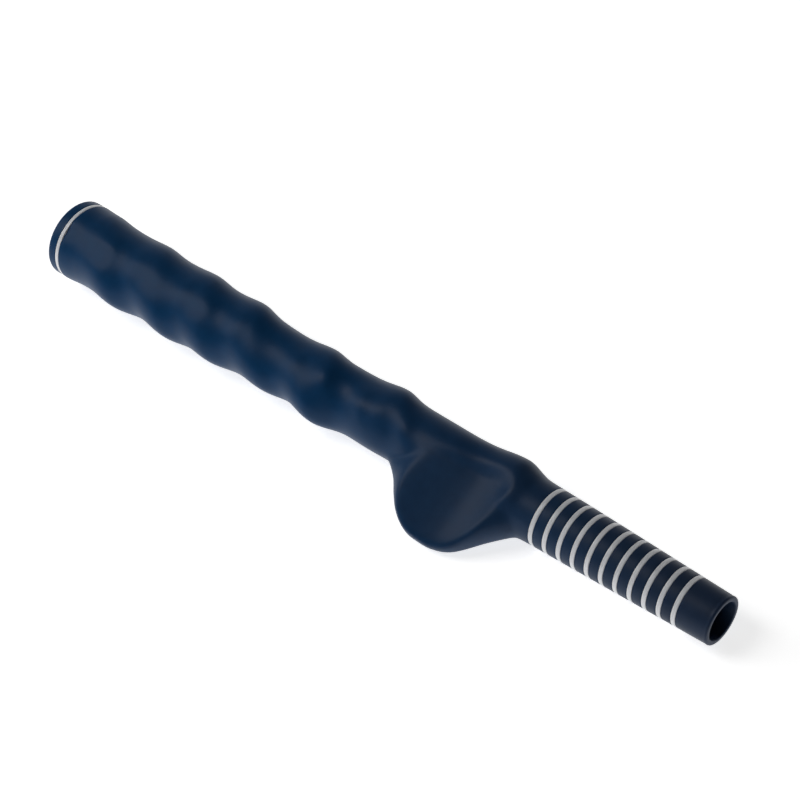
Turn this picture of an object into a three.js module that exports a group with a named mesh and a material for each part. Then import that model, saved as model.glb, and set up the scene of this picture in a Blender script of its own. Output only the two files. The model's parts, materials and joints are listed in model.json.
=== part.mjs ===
// Golf training grip: a moulded rubber sleeve that slips over the butt end of a club shaft.
// It has finger ridges for the upper hand, a trigger fin with a dished front for the lower hand's
// forefinger, a white ring at the butt and eleven white rings down the tapered lower end.
//
// Units are millimetres, +Z is up. The grip lies on its side as it does on a bench: the shaft
// axis runs along +X from the butt to the open mouth, and dips by LIE_TILT because the sleeve
// tapers. LIE_ROLL turns the grip about that axis until the fin's crest meets the floor. x is the
// distance from the butt's end face along the shaft axis. turn is the angle round that axis in
// degrees, from straight up (0) over the front, -Y, (90) to the floor (180), before the roll.

import * as THREE from "three";

// ---- driving dimensions ----
const LENGTH = 266.8;
const CAP_THICK = 3.7;
const BUTT_R = 13.4;
const CAP_EDGE_R = 1.2;
const VENT_R = 1.6;
const SPIGOT_LENGTH = 7.0;
const BORE_BUTT_R = 7.6;
const BORE_MOUTH_R = 6.4;
const GAP = 0.1;

const BUTT_RING_X = 3.8;
const BUTT_RING_WIDTH = 1.24;
const RING_COUNT = 11;
const RING_1_X = 202.8;
const RING_PITCH = 5.15;
const RING_WIDTH = 1.5;
const RING_DEPTH = 0.7;
const MOUTH_LIP = 0.5;

const LIE_TILT = 1.05;
const LIE_ROLL = -11;
const SIDES = 40;

// Sleeve radius along x, before the finger rests are added.
const TAPER = [
  [0, 13.4], [6, 13.4], [12, 12.8], [30, 12.1], [55, 11.8], [75, 11.3], [100, 10.1], [130, 10.4],
  [160, 10.3], [199, 9.8], [266.8, 8],
];

// Finger ridges: where each crest is on x and how far it rises. A shape says at which turn the
// crest is highest, how wide it is in degrees, how long its feet are and how it leans.
const FRONT_RIDGES = [[27.5, 2.4], [51, 2.4], [70.5, 2.1], [93.5, 2.2], [115, 3.1]];
const FRONT_SHAPE = { turn: 95, wide: 50, before: 9.5, after: 6.5, lean: 0.09 };
const TOP_RIDGES = [[15, 0.6], [39, 1.1], [61, 1.2], [82, 1.6], [113, 1.5], [143, 1.8]];
const TOP_SHAPE = { turn: 345, wide: 65, before: 7.5, after: 5.5, lean: 0.08 };
const KNUCKLES = [
  [24, 0.6], [36, 0.6], [57, 0.6], [68, 0.4], [81, 0.6], [106, 0.6], [118, 0.8], [133, 0.8],
  [140, 0.5], [151, 0.8],
];
const KNUCKLE_SHAPE = { turn: 35, wide: 24, before: 4, after: 3.2, lean: 0.05 };

// Hollows where a finger lies deeper: x and depth.
const HOLLOWS = [[126, 1.2], [147, 1.2]];
const HOLLOW_SHAPE = { turn: 60, wide: 60, before: 5.5, after: 7, lean: 0 };

// The swell in front of the rings, highest on top, and the dip before it.
const COLLAR = [[188.5, 2.2]];
const COLLAR_SHAPE = { turn: 330, wide: 65, before: 11, after: 5.5, lean: 0 };
const COLLAR_FRONT = [[189.5, 1.4]];
const COLLAR_FRONT_SHAPE = { turn: 60, wide: 45, before: 6, after: 4, lean: -0.05 };
const WAIST = [[178, -1.6]];
const WAIST_SHAPE = { turn: 30, wide: 45, before: 8, after: 7, lean: 0 };

// The relief fades out towards the butt and the rings.
const RELIEF_START = 5.5;
const RELIEF_END = 200;

// The fin: how far its crest stands from the shaft axis, and half its thickness in front, along x.
const FIN_REACH = [
  [140, 6], [146, 9.2], [150, 11.8], [154, 15.3], [158, 20], [162, 23.9], [167, 26.6], [172, 27.2],
  [177, 27], [183, 24.6], [191, 16], [197, 10], [205, 3],
];
const FIN_FRONT = [
  [140, 3], [148, 4.5], [154, 6.6], [160, 9.6], [168, 10.1], [176, 8.9], [183, 9], [188, 9.8],
  [195, 8.4], [203, 6],
];
const FIN_TURN = 116;
const FIN_BACK = 5.5;
const FIN_ROUNDING = 3.2;
const FIN_FILLET = 0.9;

// The dish pressed into the fin's front and the sleeve: how far its floor is from the shaft axis,
// how much its places slant and rise across the grip, and how softly its rim is rounded along x.
const DISH_TURN = 39;
const DISH_LEVEL = [
  [152, 13], [158, 11.5], [164, 10.3], [170, 9.1], [176, 8.1], [181, 7.7], [185, 8.2], [189, 9.6],
  [192, 11.8], [195, 16],
];
const DISH_SLANT = 0.1;
const DISH_EDGE = [[155, 0.6], [170, 0.9], [182, 2.2], [190, 2], [199, 0.2]];
const DISH_BOW = 0.07;

const RUBBER = { color: 0x1c2c4a, roughness: 0.62, metalness: 0 };
const WHITE = { color: 0xe6e6ea, roughness: 0.55, metalness: 0 };

// ---- the sleeve's outer surface ----

// Smooth curve through [x, value] points.
function curveAt(points, x) {
  const last = points.length - 2;
  let i = 0;
  while (i < last && x > points[i + 1][0]) i += 1;
  const rise = (k) => (points[k + 1][1] - points[k][1]) / (points[k + 1][0] - points[k][0]);
  const slopeA = i > 0 ? (rise(i - 1) + rise(i)) / 2 : rise(i);
  const slopeB = i < last ? (rise(i) + rise(i + 1)) / 2 : rise(i);
  const span = points[i + 1][0] - points[i][0];
  const u = THREE.MathUtils.clamp((x - points[i][0]) / span, 0, 1);
  const a = points[i][1] * (2 * u ** 3 - 3 * u ** 2 + 1) + slopeA * span * (u ** 3 - 2 * u ** 2 + u);
  const b = points[i + 1][1] * (3 * u ** 2 - 2 * u ** 3) + slopeB * span * (u ** 3 - u ** 2);
  return a + b;
}

function turnBetween(a, b) {
  return ((a - b + 540) % 360) - 180;
}

function smoothStep(a, b, x) {
  const u = THREE.MathUtils.clamp((x - a) / (b - a), 0, 1);
  return u * u * (3 - 2 * u);
}

// The fin's cross-section has parallel sides and a round crest.
function finRadius(x, turn) {
  const off = THREE.MathUtils.degToRad(turnBetween(turn, FIN_TURN));
  const reach = curveAt(FIN_REACH, x);
  const half = off < 0 ? curveAt(FIN_FRONT, x) : FIN_BACK;
  const side = (Math.abs(Math.sin(off)) * reach) / half;
  const radius = reach / (1 + side ** FIN_ROUNDING) ** (1 / FIN_ROUNDING);
  return radius * smoothStep(-0.15, 0.4, Math.cos(off));
}

// How far out the dish's floor lies; so far out that it cuts nothing where it faces away.
function dishRadius(x, turn) {
  const off = THREE.MathUtils.degToRad(turnBetween(turn, DISH_TURN));
  const facing = Math.cos(off);
  if (facing <= 0.05) return 300;
  const across = THREE.MathUtils.clamp(-8.5 * Math.tan(off), -30, 30);
  const dishX = THREE.MathUtils.clamp(x - DISH_SLANT * across, 152, 195);
  return (curveAt(DISH_LEVEL, dishX) + DISH_BOW * Math.max(across, 0) ** 2) / facing;
}

// Rows of crests that share one shape; lean is in millimetres of x for each degree of turn.
function relief(x, turn, places, shape) {
  const across = turnBetween(turn, shape.turn);
  let total = 0;
  for (const [crestX, rise] of places) {
    const along = x - crestX - shape.lean * across;
    const length = along < 0 ? shape.before : shape.after;
    total += rise * Math.exp(-((along / length) ** 2) - (across / shape.wide) ** 2);
  }
  return total;
}

function sleeveRadius(x, turn) {
  let raised = relief(x, turn, FRONT_RIDGES, FRONT_SHAPE);
  raised += relief(x, turn, TOP_RIDGES, TOP_SHAPE);
  raised += relief(x, turn, KNUCKLES, KNUCKLE_SHAPE);
  raised -= relief(x, turn, HOLLOWS, HOLLOW_SHAPE);
  raised += relief(x, turn, COLLAR, COLLAR_SHAPE);
  raised += relief(x, turn, COLLAR_FRONT, COLLAR_FRONT_SHAPE);
  raised += relief(x, turn, WAIST, WAIST_SHAPE);
  const fade = smoothStep(RELIEF_START, RELIEF_START + 8, x) * smoothStep(RELIEF_END, RELIEF_END - 6, x);
  const sleeve = curveAt(TAPER, x) + fade * raised;
  const fin = finRadius(x, turn);
  const body = (sleeve + fin + Math.hypot(sleeve - fin, FIN_FILLET)) / 2;
  const dish = dishRadius(x, turn);
  return (body + dish - Math.hypot(body - dish, curveAt(DISH_EDGE, x))) / 2;
}

// ---- helpers ----

// Turns a profile of [x, radius] about the shaft axis, from straight up over the front.
function turned(profile) {
  const points = profile.map(([x, r]) => new THREE.Vector2(r, x));
  const geometry = new THREE.LatheGeometry(points, SIDES);
  geometry.rotateZ(-Math.PI / 2);
  return geometry;
}

function piece(name, geometry, look) {
  const mesh = new THREE.Mesh(geometry, new THREE.MeshStandardMaterial(look));
  mesh.name = name;
  return mesh;
}

function ringX(index) {
  return RING_1_X + index * RING_PITCH;
}

function boreRadius(x) {
  return BORE_BUTT_R + ((BORE_MOUTH_R - BORE_BUTT_R) * x) / LENGTH;
}

// ---- the sleeve ----

// Where the outer surface has stations along x: close together on the fin, wider elsewhere.
function outerStations() {
  const xs = [];
  const start = BUTT_RING_X + BUTT_RING_WIDTH + GAP;
  for (let x = start; x < 142; x += 4) xs.push(x);
  for (let x = 142; x < 152; x += 2) xs.push(x);
  for (let x = 152; x < 160; x += 1.6) xs.push(x);
  for (let x = 160; x < 198; x += 2.6) xs.push(x);
  xs.push(198.5);
  return xs;
}

// Closed profile of the sleeve: each point is at x, at radius r or inset from the outer surface.
function sleeveProfile() {
  const buttX = CAP_THICK + GAP;
  const rebateX = BUTT_RING_X + BUTT_RING_WIDTH + GAP;
  const rebateR = BUTT_R - RING_DEPTH - 2 * GAP;
  const profile = [];
  profile.push({ x: buttX, r: rebateR });
  profile.push({ x: rebateX, r: rebateR });
  for (const x of outerStations()) profile.push({ x, inset: 0 });
  for (let i = 0; i < RING_COUNT; i += 1) {
    const a = ringX(i) - GAP;
    const b = ringX(i) + RING_WIDTH + GAP;
    profile.push({ x: a, inset: 0 });
    profile.push({ x: a, inset: RING_DEPTH + GAP });
    profile.push({ x: b, inset: RING_DEPTH + GAP });
    profile.push({ x: b, inset: 0 });
  }
  profile.push({ x: LENGTH - MOUTH_LIP, inset: 0 });
  profile.push({ x: LENGTH, inset: MOUTH_LIP });
  profile.push({ x: LENGTH, r: boreRadius(LENGTH) });
  profile.push({ x: buttX, r: boreRadius(buttX) });
  profile.push({ x: buttX, r: rebateR });
  return profile;
}

function gripBody() {
  const profile = sleeveProfile();
  const geometry = turned(profile.map((p) => [p.x, p.r ?? curveAt(TAPER, p.x) - p.inset]));
  const position = geometry.attributes.position;
  for (let i = 0; i < position.count; i += 1) {
    const p = profile[i % profile.length];
    if (p.r !== undefined) continue;
    const angle = Math.atan2(-position.getY(i), position.getZ(i));
    const turn = (THREE.MathUtils.radToDeg(angle) + 360) % 360;
    const radius = sleeveRadius(p.x, turn) - p.inset;
    position.setY(i, -radius * Math.sin(angle));
    position.setZ(i, radius * Math.cos(angle));
  }
  geometry.computeVertexNormals();
  return piece("grip_body", geometry, RUBBER);
}

// ---- rings and cap ----

function ring(name, x, width, radiusA, radiusB) {
  const innerA = radiusA - RING_DEPTH;
  const innerB = radiusB - RING_DEPTH;
  const end = x + width;
  return piece(name, turned([[x, innerA], [x, radiusA], [end, radiusB], [end, innerB], [x, innerA]]), WHITE);
}

function buttRing() {
  return ring("butt_ring", BUTT_RING_X, BUTT_RING_WIDTH, BUTT_R, BUTT_R);
}

function lowerRing(index) {
  const x = ringX(index);
  const name = `ring_${String(index + 1).padStart(2, "0")}`;
  return ring(name, x, RING_WIDTH, sleeveRadius(x, 0), sleeveRadius(x + RING_WIDTH, 0));
}

// A flange over the sleeve's butt, a spigot that plugs the bore, and a vent hole through both.
function endCap() {
  const spigotR = boreRadius(CAP_THICK + SPIGOT_LENGTH) - GAP;
  const profile = [[0, VENT_R]];
  for (let i = 0; i <= 4; i += 1) {
    const a = (i / 4) * (Math.PI / 2);
    profile.push([CAP_EDGE_R * (1 - Math.cos(a)), BUTT_R - CAP_EDGE_R * (1 - Math.sin(a))]);
  }
  profile.push([CAP_THICK, BUTT_R]);
  profile.push([CAP_THICK, spigotR]);
  profile.push([CAP_THICK + SPIGOT_LENGTH - 1, spigotR]);
  profile.push([CAP_THICK + SPIGOT_LENGTH, spigotR - 1]);
  profile.push([CAP_THICK + SPIGOT_LENGTH, VENT_R]);
  profile.push([0, VENT_R]);
  return piece("end_cap", turned(profile), RUBBER);
}

// ---- assembly, laid on its side with the lowest point on the floor ----

const grip = new THREE.Group();
grip.add(gripBody());
grip.add(endCap());
grip.add(buttRing());
for (let i = 0; i < RING_COUNT; i += 1) grip.add(lowerRing(i));

grip.rotation.order = "YXZ";
grip.rotation.y = THREE.MathUtils.degToRad(LIE_TILT);
grip.rotation.x = THREE.MathUtils.degToRad(LIE_ROLL);
const group = new THREE.Group();
group.add(grip);
const box = new THREE.Box3().setFromObject(group, true);
grip.position.set(-(box.min.x + box.max.x) / 2, -(box.min.y + box.max.y) / 2, -box.min.z);

export default group;
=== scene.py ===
"""Golf training grip: a moulded navy rubber sleeve lying on a pale floor.

Sizes are millimetres in the grip's own terms, as on a drawing: x runs along the shaft axis from
the butt's end face to the open mouth, and turn is the angle round that axis in degrees, from
straight up (0) over the front (90) to the floor (180), before LIE_ROLL turns the grip until its fin
meets the floor. placed() turns them into the frame's metres.
"""
import json
import math

import bpy
import numpy as np
from mathutils import Euler, Matrix, Vector


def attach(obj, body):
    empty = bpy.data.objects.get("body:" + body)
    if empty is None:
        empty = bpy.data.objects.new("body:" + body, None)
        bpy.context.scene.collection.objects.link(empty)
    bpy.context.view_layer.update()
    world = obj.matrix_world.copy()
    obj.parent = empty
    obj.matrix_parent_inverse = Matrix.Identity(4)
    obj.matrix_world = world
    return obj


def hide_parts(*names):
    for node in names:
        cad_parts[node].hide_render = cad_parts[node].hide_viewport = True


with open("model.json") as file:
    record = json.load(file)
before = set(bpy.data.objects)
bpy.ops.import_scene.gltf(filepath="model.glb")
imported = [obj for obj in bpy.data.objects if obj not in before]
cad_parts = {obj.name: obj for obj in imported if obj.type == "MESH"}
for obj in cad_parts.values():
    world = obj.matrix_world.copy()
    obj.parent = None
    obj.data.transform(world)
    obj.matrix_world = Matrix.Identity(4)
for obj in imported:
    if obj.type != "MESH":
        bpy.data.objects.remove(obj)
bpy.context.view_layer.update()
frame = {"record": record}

# ---- driving dimensions, as in the CAD ----
LENGTH = 266.8
CAP_THICK = 3.7
BUTT_R = 13.4
CAP_EDGE_R = 1.2
VENT_R = 1.6
SPIGOT_LENGTH = 7.0
BORE_BUTT_R = 7.6
BORE_MOUTH_R = 6.4
BUTT_RING_X = 3.8
BUTT_RING_WIDTH = 1.24
RING_COUNT = 11
RING_1_X = 202.8
RING_PITCH = 5.15
RING_WIDTH = 1.5
RING_DEPTH = 0.7
MOUTH_MOUNT_R = 6.95
LIE_ROLL = -11

# ---- finish of the fine model ----
AROUND = 256
SHARP_DEG = 40
HAND_STEP = 0.55
BAND_STEP = 0.8
BUTT_CLEAR = 0.3
LIP_CLEAR = 0.4
MOUTH_CLEAR = 1.6
SEAM = 0.07

# A groove's softened lip: where it starts, then how far each loop is from the groove and how deep.
GROOVE_LIP = 0.22
GROOVE_ROUND = [(0.12, 0.02), (0.04, 0.07), (0.0, 0.18)]

# A band stands RING_CROWN over its edges, which lie RING_SINK below the sleeve.
RING_CROWN = 0.06
RING_SINK = 0.04
RING_STEPS = 8

# The mouth: how far each loop is behind the end face, then how much smaller it is than the sleeve,
# with a slight bead before the edge, or how much larger it is than the bore. The plain bore runs
# from BORE_START behind the mouth to the cap in BORE_LOOPS loops.
MOUTH_ROUND = [(1.3, 0.0), (0.9, -0.06), (0.55, -0.08), (0.25, 0.02), (0.08, 0.2), (0.0, 0.5)]
BORE_ROUND = [(0.0, 0.3), (0.06, 0.12), (0.25, 0.0)]
BORE_START = 5
BORE_LOOPS = 30

# The cap and the sleeve's end under it.
CAP_GAP = 0.1
CAP_SEAT = 0.2
CAP_FACE_RADII = (4.0, 8.0, 11.5)
CAP_EDGE_STEPS = 8
CAP_SIDE_X = 2.4
CAP_BACK_ROUND = [(0.15, 0.02), (0.0, 0.2)]
VENT_CHAMFER = 0.3
SPIGOT_GAP = 0.1
SPIGOT_CHAMFER = 1

# Sleeve radius along x, before the finger ridges are added.
TAPER = [
    (0, 13.4), (6, 13.4), (12, 12.8), (30, 12.1), (55, 11.8), (75, 11.3), (100, 10.1),
    (130, 10.4), (160, 10.3), (199, 9.8), (266.8, 8),
]

# Finger ridges: where each crest is on x and how far it rises. A shape says at which turn the
# crest is highest, how wide it is in degrees, how long its feet are and how it leans.
FRONT_RIDGES = [(27.5, 2.4), (51, 2.4), (70.5, 2.1), (93.5, 2.2), (115, 3.1)]
FRONT_SHAPE = {"turn": 95, "wide": 50, "before": 9.5, "after": 6.5, "lean": 0.09}
TOP_RIDGES = [(15, 0.6), (39, 1.1), (61, 1.2), (82, 1.6), (113, 1.5), (143, 1.8)]
TOP_SHAPE = {"turn": 345, "wide": 65, "before": 7.5, "after": 5.5, "lean": 0.08}
KNUCKLES = [
    (24, 0.6), (36, 0.6), (57, 0.6), (68, 0.4), (81, 0.6), (106, 0.6), (118, 0.8), (133, 0.8),
    (140, 0.5), (151, 0.8),
]
KNUCKLE_SHAPE = {"turn": 35, "wide": 24, "before": 4, "after": 3.2, "lean": 0.05}

# Hollows where a finger lies deeper: x and depth.
HOLLOWS = [(126, 1.2), (147, 1.2)]
HOLLOW_SHAPE = {"turn": 60, "wide": 60, "before": 5.5, "after": 7, "lean": 0}

# The swell in front of the bands, highest on top, and the dip before it.
COLLAR = [(188.5, 2.2)]
COLLAR_SHAPE = {"turn": 330, "wide": 65, "before": 11, "after": 5.5, "lean": 0}
COLLAR_FRONT = [(189.5, 1.4)]
COLLAR_FRONT_SHAPE = {"turn": 60, "wide": 45, "before": 6, "after": 4, "lean": -0.05}
WAIST = [(178, -1.6)]
WAIST_SHAPE = {"turn": 30, "wide": 45, "before": 8, "after": 7, "lean": 0}

# The relief rises from nothing at RELIEF_START and is nothing again at RELIEF_END.
RELIEF_START = 5.5
RELIEF_RISE = 8
RELIEF_END = 200
RELIEF_FALL = 6

# The fin: how far its crest stands from the shaft axis, and half its thickness in front, along x.
FIN_REACH = [
    (140, 6), (146, 9.2), (150, 11.8), (154, 15.3), (158, 20), (162, 23.9), (167, 26.6), (172, 27.2),
    (177, 27), (183, 24.6), (191, 16), (197, 10), (205, 3),
]
FIN_FRONT = [
    (140, 3), (148, 4.5), (154, 6.6), (160, 9.6), (168, 10.1), (176, 8.9), (183, 9), (188, 9.8),
    (195, 8.4), (203, 6),
]
FIN_TURN = 116
FIN_BACK = 5.5
FIN_ROUNDING = 3.2
FIN_FILLET = 0.9

# The fin is whole where the cosine of the angle from FIN_TURN is over FIN_WHOLE, and gone by FIN_GONE.
FIN_GONE = -0.15
FIN_WHOLE = 0.4

# The dish pressed into the fin's front and the sleeve: how far its floor is from the shaft axis,
# how much its places slant and rise across the grip, and how softly its rim is rounded along x.
# Distances across are taken at DISH_MID_R, and past DISH_SIDE the floor changes no more. Where the
# cosine of the angle from DISH_TURN is under DISH_FACING there is no dish: its floor is then put at
# DISH_CLEAR, so far out that it cuts nothing.
DISH_TURN = 39
DISH_LEVEL = [
    (152, 13), (158, 11.5), (164, 10.3), (170, 9.1), (176, 8.1), (181, 7.7), (185, 8.2), (189, 9.6),
    (192, 11.8), (195, 16),
]
DISH_SLANT = 0.1
DISH_EDGE = [(155, 0.6), (170, 0.9), (182, 2.2), (190, 2), (199, 0.2)]
DISH_BOW = 0.07
DISH_MID_R = 8.5
DISH_SIDE = 30
DISH_FACING = 0.05
DISH_CLEAR = 300.0


# ---- the sleeve's outer surface ----

def curve_at(points, x):
    """Smooth curve through (x, value) points, at one x."""
    px = [p[0] for p in points]
    py = [p[1] for p in points]
    last = len(points) - 2
    i = 0
    while i < last and x > px[i + 1]:
        i += 1
    rises = [(py[k + 1] - py[k]) / (px[k + 1] - px[k]) for k in range(last + 1)]
    slope_a = (rises[i - 1] + rises[i]) / 2 if i > 0 else rises[i]
    slope_b = (rises[i] + rises[i + 1]) / 2 if i < last else rises[i]
    span = px[i + 1] - px[i]
    u = min(max((x - px[i]) / span, 0), 1)
    a = py[i] * (2 * u**3 - 3 * u**2 + 1) + slope_a * span * (u**3 - 2 * u**2 + u)
    b = py[i + 1] * (3 * u**2 - 2 * u**3) + slope_b * span * (u**3 - u**2)
    return a + b


def turn_between(a, b):
    return (a - b + 540) % 360 - 180


def smooth_step(a, b, x):
    u = np.clip((x - a) / (b - a), 0, 1)
    return u * u * (3 - 2 * u)


def fin_radius(x, turns):
    off = np.radians(turn_between(turns, FIN_TURN))
    reach = curve_at(FIN_REACH, x)
    half = np.where(off < 0, curve_at(FIN_FRONT, x), FIN_BACK)
    side = np.abs(np.sin(off)) * reach / half
    radius = reach / (1 + side**FIN_ROUNDING) ** (1 / FIN_ROUNDING)
    return radius * smooth_step(FIN_GONE, FIN_WHOLE, np.cos(off))


def dish_radius(x, turns):
    """Where the dish's floor lies: a trough across the grip that curls up on its upper side."""
    off = np.radians(turn_between(turns, DISH_TURN))
    facing = np.cos(off)
    across = np.clip(-DISH_MID_R * np.tan(off), -DISH_SIDE, DISH_SIDE)
    along = np.clip(x - DISH_SLANT * across, DISH_LEVEL[0][0], DISH_LEVEL[-1][0])
    level = np.array([curve_at(DISH_LEVEL, v) for v in along])
    level = level + DISH_BOW * np.maximum(across, 0) ** 2
    return np.where(facing > DISH_FACING, level / np.maximum(facing, DISH_FACING), DISH_CLEAR)


def relief(x, turns, places, shape):
    """A row of crests that share one shape, each with its own foot before and after the crest."""
    across = turn_between(turns, shape["turn"])
    total = np.zeros_like(turns)
    for crest_x, rise in places:
        along = x - crest_x - shape["lean"] * across
        length = np.where(along < 0, shape["before"], shape["after"])
        total += rise * np.exp(-((along / length) ** 2) - (across / shape["wide"]) ** 2)
    return total


def sleeve_radius(x, turns):
    raised = relief(x, turns, FRONT_RIDGES, FRONT_SHAPE)
    raised += relief(x, turns, TOP_RIDGES, TOP_SHAPE)
    raised += relief(x, turns, KNUCKLES, KNUCKLE_SHAPE)
    raised -= relief(x, turns, HOLLOWS, HOLLOW_SHAPE)
    raised += relief(x, turns, COLLAR, COLLAR_SHAPE)
    raised += relief(x, turns, COLLAR_FRONT, COLLAR_FRONT_SHAPE)
    raised += relief(x, turns, WAIST, WAIST_SHAPE)
    fade = smooth_step(RELIEF_START, RELIEF_START + RELIEF_RISE, x)
    fade = fade * smooth_step(RELIEF_END, RELIEF_END - RELIEF_FALL, x)
    sleeve = curve_at(TAPER, x) + fade * raised
    fin = fin_radius(x, turns)
    body = (sleeve + fin + np.hypot(sleeve - fin, FIN_FILLET)) / 2
    dish = dish_radius(x, turns)
    return (body + dish - np.hypot(body - dish, curve_at(DISH_EDGE, x))) / 2


# ---- placing and meshing ----

def grip_matrix():
    """From the grip's own millimetres to the frame's metres, worked out from the mouth's mount."""
    mount = next(m for m in frame["record"]["mounts"] if m["name"] == "mouth_face")
    axis = Vector(mount["axis"]).normalized()
    tilt = Matrix.Rotation(math.atan2(-axis.z, axis.x), 4, "Y")
    roll = Matrix.Rotation(math.radians(LIE_ROLL), 4, "X")
    at_mouth = tilt @ Vector((LENGTH, 0, MOUTH_MOUNT_R)) * 0.001
    return Matrix.Translation(Vector(mount["pos_m"]) - at_mouth) @ tilt @ roll @ Matrix.Scale(0.001, 4)


TO_FRAME = grip_matrix()
TURN_TO_FRAME = TO_FRAME.to_quaternion()
TURNS = np.arange(AROUND) * 360.0 / AROUND


def placed(points):
    """Grip millimetres, one row per point, to frame metres."""
    m = np.array(TO_FRAME)
    return points @ m[:3, :3].T + m[:3, 3]


def loop_points(x, radii):
    angle = np.radians(TURNS)
    return np.stack([np.full(AROUND, x), -radii * np.sin(angle), radii * np.cos(angle)], axis=1)


def turned_mesh(name, loops):
    """A closed skin through loops of (x, radii), the last joined to the first."""
    points = np.concatenate([loop_points(x, np.broadcast_to(radii, (AROUND,))) for x, radii in loops])
    count = len(loops)
    faces = []
    for i in range(count):
        a = i * AROUND
        b = ((i + 1) % count) * AROUND
        for j in range(AROUND):
            k = (j + 1) % AROUND
            faces.append((a + j, a + k, b + k, b + j))
    mesh = bpy.data.meshes.new(name)
    mesh.from_pydata(placed(points).tolist(), [], faces)
    mesh.shade_smooth()
    mesh.set_sharp_from_angle(angle=math.radians(SHARP_DEG))
    piece = bpy.data.objects.new(name, mesh)
    bpy.context.scene.collection.objects.link(piece)
    return piece


def ring_x(index):
    return RING_1_X + index * RING_PITCH


def bore_radius(x):
    return BORE_BUTT_R + (BORE_MOUTH_R - BORE_BUTT_R) * x / LENGTH


# ---- the pieces ----

def groove_loops(a, b):
    """(x, inset) round a groove from a to b, with softened lips."""
    lip = [(GROOVE_LIP, 0.0)] + GROOVE_ROUND + [(0.0, RING_DEPTH)]
    left = [(a - dx, inset) for dx, inset in lip]
    right = [(b + dx, inset) for dx, inset in reversed(lip)]
    return left + right


def sleeve_stations():
    """(x, inset) of every loop of the outer surface, from the butt to the mouth."""
    start = BUTT_RING_X + BUTT_RING_WIDTH + SEAM
    stations = [(start, RING_DEPTH)]
    stations += [(start + dx, inset) for dx, inset in reversed(GROOVE_ROUND)]
    stations += [(x, 0.0) for x in np.arange(start + BUTT_CLEAR, ring_x(0) - LIP_CLEAR, HAND_STEP)]
    for i in range(RING_COUNT):
        stations += groove_loops(ring_x(i) - SEAM, ring_x(i) + RING_WIDTH + SEAM)
        after = ring_x(i) + RING_WIDTH + LIP_CLEAR
        stop = ring_x(i + 1) - LIP_CLEAR if i < RING_COUNT - 1 else LENGTH - MOUTH_CLEAR
        stations += [(x, 0.0) for x in np.arange(after, stop, BAND_STEP)]
    return stations


def make_sleeve():
    loops = []
    for x, inset in sleeve_stations():
        loops.append((x, sleeve_radius(x, TURNS) - inset))
    mouth_r = sleeve_radius(LENGTH, TURNS)
    for back, drop in MOUTH_ROUND:
        loops.append((LENGTH - back, mouth_r - drop))
    bore_r = bore_radius(LENGTH)
    for back, grow in BORE_ROUND:
        loops.append((LENGTH - back, np.full(AROUND, bore_r + grow)))
    for x in np.linspace(LENGTH - BORE_START, CAP_THICK + CAP_GAP, BORE_LOOPS):
        loops.append((x, np.full(AROUND, bore_radius(x))))
    loops.append((CAP_THICK + CAP_GAP, np.full(AROUND, BUTT_R - RING_DEPTH - CAP_SEAT)))
    return turned_mesh("grip_sleeve", loops)


def make_ring(name, x, width, radii_a, radii_b):
    loops = [(x, radii_a - RING_DEPTH)]
    for i in range(RING_STEPS + 1):
        u = i / RING_STEPS
        crown = RING_CROWN * (1 - (2 * u - 1) ** 4) - RING_SINK
        loops.append((x + u * width, radii_a + (radii_b - radii_a) * u + crown))
    loops.append((x + width, radii_b - RING_DEPTH))
    return turned_mesh(name, loops)


def make_cap():
    tip = CAP_THICK + SPIGOT_LENGTH
    spigot_r = bore_radius(tip) - SPIGOT_GAP
    loops = [(tip, VENT_R), (VENT_CHAMFER, VENT_R), (0.0, VENT_R + VENT_CHAMFER)]
    loops += [(0.0, r) for r in CAP_FACE_RADII]
    for i in range(CAP_EDGE_STEPS + 1):
        a = i / CAP_EDGE_STEPS * math.pi / 2
        loops.append((CAP_EDGE_R * (1 - math.cos(a)), BUTT_R - CAP_EDGE_R * (1 - math.sin(a))))
    loops.append((CAP_SIDE_X, BUTT_R))
    loops += [(CAP_THICK - dx, BUTT_R - drop) for dx, drop in CAP_BACK_ROUND]
    loops += [(CAP_THICK, spigot_r), (tip - SPIGOT_CHAMFER, spigot_r)]
    loops.append((tip, spigot_r - SPIGOT_CHAMFER))
    return turned_mesh("butt_cap", [(x, np.full(AROUND, r)) for x, r in loops])


# ---- materials ----

# The base colour at the butt end and at the mouth end, greyer and paler towards the mouth, and from
# where to where along the frame's
# X, in metres, it changes from one to the other.
NAVY_BUTT = (0.003, 0.043, 0.124)
NAVY_MOUTH = (0.018, 0.035, 0.074)
TONE_FROM_X = -0.02
TONE_TO_X = 0.12


def new_material(name):
    material = bpy.data.materials.new(name)
    material.use_nodes = True
    return material, material.node_tree.nodes, material.node_tree.links


def noise_node(nodes, links, where, scale, detail):
    noise = nodes.new("ShaderNodeTexNoise")
    noise.inputs["Scale"].default_value = scale
    noise.inputs["Detail"].default_value = detail
    links.new(where.outputs["Object"], noise.inputs["Vector"])
    return noise


def range_node(nodes, links, source, low, high):
    """Stretches a value that runs from 0 to 1 to run from low to high."""
    spread = nodes.new("ShaderNodeMapRange")
    spread.inputs["To Min"].default_value = low
    spread.inputs["To Max"].default_value = high
    links.new(source, spread.inputs["Value"])
    return spread


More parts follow.
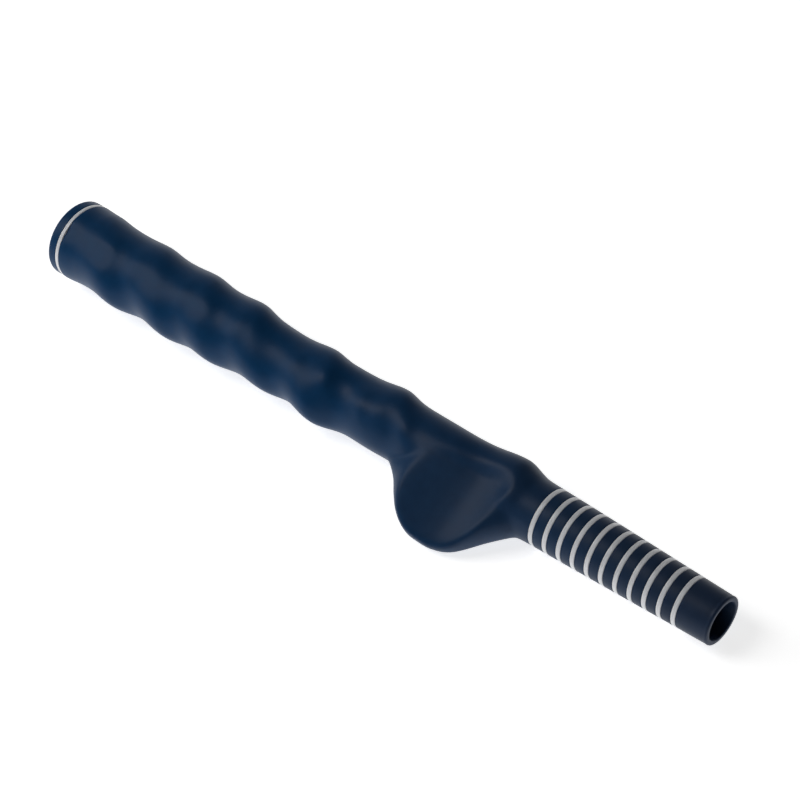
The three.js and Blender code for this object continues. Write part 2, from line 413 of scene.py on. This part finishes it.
def along_tone(nodes, links, where):
    """The base colour, which turns greyer and paler from the butt end to the mouth end."""
    split = nodes.new("ShaderNodeSeparateXYZ")
    links.new(where.outputs["Object"], split.inputs[0])
    along = nodes.new("ShaderNodeMapRange")
    along.inputs["From Min"].default_value = TONE_FROM_X
    along.inputs["From Max"].default_value = TONE_TO_X
    links.new(split.outputs["X"], along.inputs["Value"])
    tone = nodes.new("ShaderNodeMix")
    tone.data_type = "RGBA"
    tone.inputs["A"].default_value = (*NAVY_BUTT, 1)
    tone.inputs["B"].default_value = (*NAVY_MOUTH, 1)
    links.new(along.outputs["Result"], tone.inputs["Factor"])
    return tone


def add_grain(nodes, links, where, shader):
    grain = noise_node(nodes, links, where, scale=2600, detail=3)
    bump = nodes.new("ShaderNodeBump")
    bump.inputs["Strength"].default_value = 0.12
    bump.inputs["Distance"].default_value = 0.0001
    links.new(grain.outputs["Fac"], bump.inputs["Height"])
    links.new(bump.outputs["Normal"], shader.inputs["Normal"])


def rubber_material(name):
    """Satin navy rubber, mottled in colour and sheen, with a fine grain."""
    material, nodes, links = new_material(name)
    shader = nodes["Principled BSDF"]
    shader.inputs["Specular IOR Level"].default_value = 0.13
    where = nodes.new("ShaderNodeTexCoord")
    tone = along_tone(nodes, links, where)
    mottle = noise_node(nodes, links, where, scale=260, detail=4)
    shade = range_node(nodes, links, mottle.outputs["Fac"], 0.85, 1.15)
    varied = nodes.new("ShaderNodeMix")
    varied.data_type = "RGBA"
    varied.blend_type = "MULTIPLY"
    varied.inputs["Factor"].default_value = 1
    links.new(tone.outputs["Result"], varied.inputs["A"])
    links.new(shade.outputs["Result"], varied.inputs["B"])
    links.new(varied.outputs["Result"], shader.inputs["Base Color"])
    rough = range_node(nodes, links, mottle.outputs["Fac"], 0.36, 0.46)
    links.new(rough.outputs["Result"], shader.inputs["Roughness"])
    add_grain(nodes, links, where, shader)
    return material


def band_material():
    material, nodes, links = new_material("white_band")
    shader = nodes["Principled BSDF"]
    shader.inputs["Roughness"].default_value = 0.35
    where = nodes.new("ShaderNodeTexCoord")
    noise = noise_node(nodes, links, where, scale=900, detail=2)
    ramp = nodes.new("ShaderNodeValToRGB")
    ramp.color_ramp.elements[0].color = (0.8, 0.81, 0.85, 1)
    ramp.color_ramp.elements[1].color = (0.92, 0.93, 0.95, 1)
    links.new(noise.outputs["Fac"], ramp.inputs["Fac"])
    links.new(ramp.outputs["Color"], shader.inputs["Base Color"])
    return material


# ---- stage ----

# The studio is pale in one direction, given in the grip's own terms: it starts to brighten where the
# cosine of the angle from that direction is SWEEP_START, and is at its full level from SWEEP_FULL on.
SWEEP_DIRECTION = (-0.64, 0.745, 0.17)
SWEEP_START = 0.72
SWEEP_FULL = 0.98
ROOM_LEVEL = 0.03
SWEEP_LEVEL = 0.45
FLOOR_GLOW = 0.78

# The floor and the wall round it, in metres.
FLOOR_HALF = 6.0
WALL_R = 5.9
WALL_HEIGHT = 3.0
WALL_SIDES = 96

# name, direction from the grip in its own terms, distance and side in metres, and power in watts
SOFTBOXES = [
    ("key", (-0.48, -0.42, 0.77), 1.3, 0.6, 4.6),
    ("left", (-0.85, -0.45, 0.4), 1.4, 0.7, 4),
]


def stage_material():
    material, nodes, _ = new_material("paper_white")
    shader = nodes["Principled BSDF"]
    shader.inputs["Base Color"].default_value = (0.86, 0.86, 0.86, 1)
    shader.inputs["Roughness"].default_value = 0.9
    shader.inputs["Specular IOR Level"].default_value = 0.0
    shader.inputs["Emission Color"].default_value = (1, 1, 1, 1)
    shader.inputs["Emission Strength"].default_value = FLOOR_GLOW
    return material


def make_stage():
    """The floor, and a pale wall round it that is there to be looked at and adds no light."""
    material = stage_material()
    corners = [(-FLOOR_HALF, -FLOOR_HALF, 0), (FLOOR_HALF, -FLOOR_HALF, 0)]
    corners += [(FLOOR_HALF, FLOOR_HALF, 0), (-FLOOR_HALF, FLOOR_HALF, 0)]
    stage_object("floor", corners, [(0, 1, 2, 3)], material)
    rim = []
    faces = []
    for i in range(WALL_SIDES):
        angle = i * 2 * math.pi / WALL_SIDES
        x = WALL_R * math.cos(angle)
        y = WALL_R * math.sin(angle)
        rim += [(x, y, 0), (x, y, WALL_HEIGHT)]
        a = 2 * i
        b = 2 * ((i + 1) % WALL_SIDES)
        faces.append((a, a + 1, b + 1, b))
    wall = stage_object("backdrop", rim, faces, material)
    wall.visible_diffuse = False
    wall.visible_glossy = False
    wall.visible_shadow = False


def stage_object(name, points, faces, material):
    mesh = bpy.data.meshes.new(name)
    mesh.from_pydata(points, [], faces)
    mesh.materials.append(material)
    piece = bpy.data.objects.new(name, mesh)
    bpy.context.scene.collection.objects.link(piece)
    return piece


def soft_light(name, toward, distance, size, watts):
    """A square softbox that faces the grip from the direction toward, in the grip's own terms."""
    light = bpy.data.lights.new(name, "AREA")
    light.shape = "SQUARE"
    light.size = size
    light.energy = watts
    lamp = bpy.data.objects.new(name, light)
    direction = TURN_TO_FRAME @ Vector(toward).normalized()
    lamp.location = direction * distance
    lamp.rotation_euler = (-direction).to_track_quat("-Z", "Y").to_euler()
    bpy.context.scene.collection.objects.link(lamp)


def make_world():
    """A dim studio that turns pale low down behind the grip, where the paper sweeps up."""
    world = bpy.data.worlds.new("studio")
    world.use_nodes = True
    nodes, links = world.node_tree.nodes, world.node_tree.links
    where = nodes.new("ShaderNodeTexCoord")
    facing = nodes.new("ShaderNodeVectorMath")
    facing.operation = "DOT_PRODUCT"
    facing.inputs[1].default_value = TURN_TO_FRAME @ Vector(SWEEP_DIRECTION)
    links.new(where.outputs["Generated"], facing.inputs[0])
    level = nodes.new("ShaderNodeMapRange")
    level.interpolation_type = "SMOOTHSTEP"
    level.inputs["From Min"].default_value = SWEEP_START
    level.inputs["From Max"].default_value = SWEEP_FULL
    level.inputs["To Min"].default_value = ROOM_LEVEL
    level.inputs["To Max"].default_value = SWEEP_LEVEL
    links.new(facing.outputs["Value"], level.inputs["Value"])
    links.new(level.outputs["Result"], nodes["Background"].inputs["Strength"])
    nodes["Background"].inputs["Color"].default_value = (1, 1, 1, 1)
    bpy.context.scene.world = world


def make_light():
    make_world()
    for name, toward, distance, size, watts in SOFTBOXES:
        soft_light(name, toward, distance, size, watts)


# The camera in the grip's own terms: its place in millimetres and its turns in degrees.
VIEW_PLACE = (519.1, -447.3, 538.2)
VIEW_TURNS = (47.97, -0.87, 40.77)
VIEW_LENS = 115.02


def make_camera():
    data = bpy.data.cameras.new("camera")
    data.lens = VIEW_LENS
    data.sensor_width = 36
    data.clip_start = 0.05
    data.clip_end = 30
    camera = bpy.data.objects.new("camera", data)
    camera.location = TO_FRAME @ Vector(VIEW_PLACE)
    aim = Euler([math.radians(v) for v in VIEW_TURNS])
    camera.rotation_euler = (TURN_TO_FRAME @ aim.to_quaternion()).to_euler()
    bpy.context.scene.collection.objects.link(camera)
    bpy.context.scene.camera = camera


def finish_piece(piece, node, material):
    piece.data.materials.append(material)
    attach(piece, "root")
    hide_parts(node)


def make_rings():
    white = band_material()
    butt = np.full(AROUND, BUTT_R)
    butt_band = make_ring("butt_band", BUTT_RING_X, BUTT_RING_WIDTH, butt, butt)
    finish_piece(butt_band, "butt_ring", white)
    for i in range(RING_COUNT):
        x = ring_x(i)
        number = f"{i + 1:02d}"
        radii_a = sleeve_radius(x, TURNS)
        radii_b = sleeve_radius(x + RING_WIDTH, TURNS)
        band = make_ring(f"band_{number}", x, RING_WIDTH, radii_a, radii_b)
        finish_piece(band, f"ring_{number}", white)


finish_piece(make_sleeve(), "grip_body", rubber_material("navy_rubber"))
finish_piece(make_cap(), "end_cap", rubber_material("cap_rubber"))
make_rings()
make_stage()
make_light()
make_camera()
bpy.context.scene.view_settings.view_transform = "Standard"
